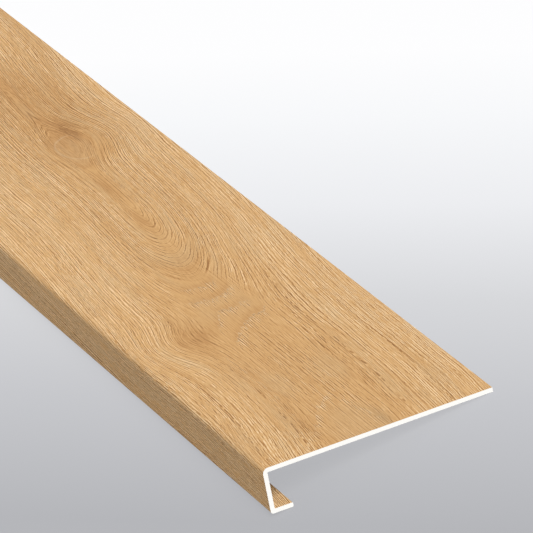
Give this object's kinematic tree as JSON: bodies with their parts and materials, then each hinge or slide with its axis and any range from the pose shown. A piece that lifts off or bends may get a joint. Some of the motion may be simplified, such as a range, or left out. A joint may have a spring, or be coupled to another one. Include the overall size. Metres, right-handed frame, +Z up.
{
  "type": "stair tread",
  "caption": "Stair tread cover with a wood-grain face: a long flat board folded down into a rounded nose and back under it into a short return lip.",
  "frame": {"origin": "on the floor under the middle of the resting board", "axes": "+X along the step, +Y from the nose to the back edge, +Z up; the board leans back as it lies on a floor, on the lip's free edge and the tread's back edge"},
  "size_m": [2.4, 0.3052, 0.062],
  "materials": {
    "printed_board": "satin"
  },
  "bodies": {
    "root": {"stair_tread": "printed_board"}
  },
  "joints": []
}
